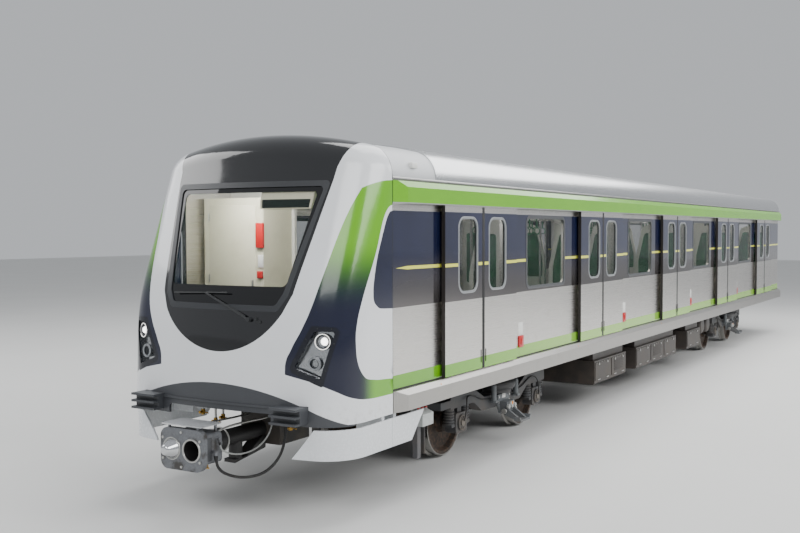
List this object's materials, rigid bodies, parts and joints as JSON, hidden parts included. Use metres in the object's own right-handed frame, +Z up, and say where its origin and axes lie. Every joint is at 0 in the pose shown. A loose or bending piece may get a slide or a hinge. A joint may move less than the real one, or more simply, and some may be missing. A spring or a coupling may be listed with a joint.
{
  "type": "metro car",
  "caption": "Front car of a metro train: stainless body with a moulded nose, pairs of outside sliding doors, bogies under each end, an automatic coupler and a rear gangway.",
  "frame": {"origin": "midway along the car on its middle plane, level with the lowest points of the wheel flanges", "axes": "+Z up, -Y toward the nose, +X toward the right hand of a viewer who faces the nose"},
  "size_m": [2.98, 22.28, 3.798],
  "materials": {
    "stainless": "satin brushed stainless steel",
    "nose_white": "gloss white moulded panel with coloured film bands",
    "cap_black": "high gloss black moulded panel",
    "glass_clear": "lightly tinted safety glass",
    "lamp_set": "dark grey lamp bezel with clear lens",
    "roof_grey": "matt stainless steel sheet",
    "frame_grey": "grey underframe paint with road dust",
    "case_brown": "brown grey paint",
    "bogie_grey": "painted steel casting with brake dust",
    "wheel_steel": "bare steel, bright tread",
    "coupler_steel": "painted casting, worn bright on its faces",
    "valance_grey": "satin mid grey paint",
    "gangway_grey": "folded grey rubberised fabric",
    "interior_white": "off white laminate",
    "hose_black": "black rubber hose",
    "cab_cream": "cream laminate cabinets and dark console",
    "pole_steel": "brushed stainless tube",
    "box_grey": "light grey paint with road dust",
    "shoe_gear": "silver grey bracket, with an insulated shoe beam",
    "motor_grey": "dark grey paint with oil and dust",
    "seat_shell": "moulded green seat shell"
  },
  "bodies": {
    "carbody": {"nose_mask": "nose_white", "nose_cap": "cap_black", "windscreen": "glass_clear", "headlamps": "lamp_set", "front_valance": "valance_grey", "front_skirts": "nose_white", "coupler": "coupler_steel", "rear_drawbar": "coupler_steel", "floor_frame": "frame_grey", "side_wall_left": "stainless", "side_wall_right": "stainless", "side_window_panes": "glass_clear", "door_headers": "stainless", "side_sills": "stainless", "roof": "roof_grey", "end_wall": "interior_white", "gangway": "gangway_grey", "equipment_cases": "case_brown", "saloon_seats": "seat_shell", "windscreen_frame": "lamp_set", "windscreen_wiper": "cap_black", "coupler_hose": "hose_black", "coupler_cable": "hose_black", "roof_units": "roof_grey", "ceiling": "interior_white", "cab_bulkhead": "interior_white", "cab_fittings": "cab_cream", "draught_screens": "interior_white", "grab_poles": "pole_steel", "junction_box": "box_grey"},
    "bogie_front": {"bogie_frame_front": "bogie_grey", "traction_motors_front": "motor_grey", "collector_gear_front": "shoe_gear"},
    "bogie_rear": {"bogie_frame_rear": "bogie_grey", "traction_motors_rear": "motor_grey", "collector_gear_rear": "shoe_gear"},
    "wheelset_front_leading": {"wheelset_front_leading": "wheel_steel"},
    "wheelset_front_trailing": {"wheelset_front_trailing": "wheel_steel"},
    "wheelset_rear_leading": {"wheelset_rear_leading": "wheel_steel"},
    "wheelset_rear_trailing": {"wheelset_rear_trailing": "wheel_steel"},
    "door_right_1_front": {"door_right_1_front": "stainless"},
    "door_right_1_rear": {"door_right_1_rear": "stainless"},
    "door_right_2_front": {"door_right_2_front": "stainless"},
    "door_right_2_rear": {"door_right_2_rear": "stainless"},
    "door_right_3_front": {"door_right_3_front": "stainless"},
    "door_right_3_rear": {"door_right_3_rear": "stainless"},
    "door_right_4_front": {"door_right_4_front": "stainless"},
    "door_right_4_rear": {"door_right_4_rear": "stainless"},
    "door_right_5_front": {"door_right_5_front": "stainless"},
    "door_right_5_rear": {"door_right_5_rear": "stainless"},
    "door_left_1_front": {"door_left_1_front": "stainless"},
    "door_left_1_rear": {"door_left_1_rear": "stainless"},
    "door_left_2_front": {"door_left_2_front": "stainless"},
    "door_left_2_rear": {"door_left_2_rear": "stainless"},
    "door_left_3_front": {"door_left_3_front": "stainless"},
    "door_left_3_rear": {"door_left_3_rear": "stainless"},
    "door_left_4_front": {"door_left_4_front": "stainless"},
    "door_left_4_rear": {"door_left_4_rear": "stainless"},
    "door_left_5_front": {"door_left_5_front": "stainless"},
    "door_left_5_rear": {"door_left_5_rear": "stainless"}
  },
  "joints": [
    {"name": "bogie_front_yaw", "type": "hinge", "parent": "carbody", "child": "bogie_front", "pos_m": [0, -6.25, 0.7], "axis": [0, 0, 1], "range_deg": [-4, 4]},
    {"name": "bogie_rear_yaw", "type": "hinge", "parent": "carbody", "child": "bogie_rear", "pos_m": [0, 6.25, 0.7], "axis": [0, 0, 1], "range_deg": [-4, 4]},
    {"name": "wheelset_front_leading_spin", "type": "hinge", "parent": "bogie_front", "child": "wheelset_front_leading", "pos_m": [0, -7.375, 0.453], "axis": [1, 0, 0], "continuous": true},
    {"name": "wheelset_front_trailing_spin", "type": "hinge", "parent": "bogie_front", "child": "wheelset_front_trailing", "pos_m": [0, -5.125, 0.453], "axis": [1, 0, 0], "continuous": true},
    {"name": "wheelset_rear_leading_spin", "type": "hinge", "parent": "bogie_rear", "child": "wheelset_rear_leading", "pos_m": [0, 5.125, 0.453], "axis": [1, 0, 0], "continuous": true},
    {"name": "wheelset_rear_trailing_spin", "type": "hinge", "parent": "bogie_rear", "child": "wheelset_rear_trailing", "pos_m": [0, 7.375, 0.453], "axis": [1, 0, 0], "continuous": true},
    {"name": "door_right_1_front_slide", "type": "slide", "parent": "carbody", "child": "door_right_1_front", "axis": [0, -1, 0], "range_m": [0, 0.7]},
    {"name": "door_right_1_rear_slide", "type": "slide", "parent": "carbody", "child": "door_right_1_rear", "axis": [0, 1, 0], "range_m": [0, 0.7]},
    {"name": "door_right_2_front_slide", "type": "slide", "parent": "carbody", "child": "door_right_2_front", "axis": [0, -1, 0], "range_m": [0, 0.7]},
    {"name": "door_right_2_rear_slide", "type": "slide", "parent": "carbody", "child": "door_right_2_rear", "axis": [0, 1, 0], "range_m": [0, 0.7]},
    {"name": "door_right_3_front_slide", "type": "slide", "parent": "carbody", "child": "door_right_3_front", "axis": [0, -1, 0], "range_m": [0, 0.7]},
    {"name": "door_right_3_rear_slide", "type": "slide", "parent": "carbody", "child": "door_right_3_rear", "axis": [0, 1, 0], "range_m": [0, 0.7]},
    {"name": "door_right_4_front_slide", "type": "slide", "parent": "carbody", "child": "door_right_4_front", "axis": [0, -1, 0], "range_m": [0, 0.7]},
    {"name": "door_right_4_rear_slide", "type": "slide", "parent": "carbody", "child": "door_right_4_rear", "axis": [0, 1, 0], "range_m": [0, 0.7]},
    {"name": "door_right_5_front_slide", "type": "slide", "parent": "carbody", "child": "door_right_5_front", "axis": [0, -1, 0], "range_m": [0, 0.7]},
    {"name": "door_right_5_rear_slide", "type": "slide", "parent": "carbody", "child": "door_right_5_rear", "axis": [0, 1, 0], "range_m": [0, 0.7]},
    {"name": "door_left_1_front_slide", "type": "slide", "parent": "carbody", "child": "door_left_1_front", "axis": [0, -1, 0], "range_m": [0, 0.7]},
    {"name": "door_left_1_rear_slide", "type": "slide", "parent": "carbody", "child": "door_left_1_rear", "axis": [0, 1, 0], "range_m": [0, 0.7]},
    {"name": "door_left_2_front_slide", "type": "slide", "parent": "carbody", "child": "door_left_2_front", "axis": [0, -1, 0], "range_m": [0, 0.7]},
    {"name": "door_left_2_rear_slide", "type": "slide", "parent": "carbody", "child": "door_left_2_rear", "axis": [0, 1, 0], "range_m": [0, 0.7]},
    {"name": "door_left_3_front_slide", "type": "slide", "parent": "carbody", "child": "door_left_3_front", "axis": [0, -1, 0], "range_m": [0, 0.7]},
    {"name": "door_left_3_rear_slide", "type": "slide", "parent": "carbody", "child": "door_left_3_rear", "axis": [0, 1, 0], "range_m": [0, 0.7]},
    {"name": "door_left_4_front_slide", "type": "slide", "parent": "carbody", "child": "door_left_4_front", "axis": [0, -1, 0], "range_m": [0, 0.7]},
    {"name": "door_left_4_rear_slide", "type": "slide", "parent": "carbody", "child": "door_left_4_rear", "axis": [0, 1, 0], "range_m": [0, 0.7]},
    {"name": "door_left_5_front_slide", "type": "slide", "parent": "carbody", "child": "door_left_5_front", "axis": [0, -1, 0], "range_m": [0, 0.7]},
    {"name": "door_left_5_rear_slide", "type": "slide", "parent": "carbody", "child": "door_left_5_rear", "axis": [0, 1, 0], "range_m": [0, 0.7]}
  ],
  "couplings": [
    {"joint": "door_right_1_rear_slide", "follows": "door_right_1_front_slide", "ratio": 1},
    {"joint": "door_right_2_rear_slide", "follows": "door_right_2_front_slide", "ratio": 1},
    {"joint": "door_right_3_rear_slide", "follows": "door_right_3_front_slide", "ratio": 1},
    {"joint": "door_right_4_rear_slide", "follows": "door_right_4_front_slide", "ratio": 1},
    {"joint": "door_right_5_rear_slide", "follows": "door_right_5_front_slide", "ratio": 1},
    {"joint": "door_left_1_rear_slide", "follows": "door_left_1_front_slide", "ratio": 1},
    {"joint": "door_left_2_rear_slide", "follows": "door_left_2_front_slide", "ratio": 1},
    {"joint": "door_left_3_rear_slide", "follows": "door_left_3_front_slide", "ratio": 1},
    {"joint": "door_left_4_rear_slide", "follows": "door_left_4_front_slide", "ratio": 1},
    {"joint": "door_left_5_rear_slide", "follows": "door_left_5_front_slide", "ratio": 1}
  ]
}
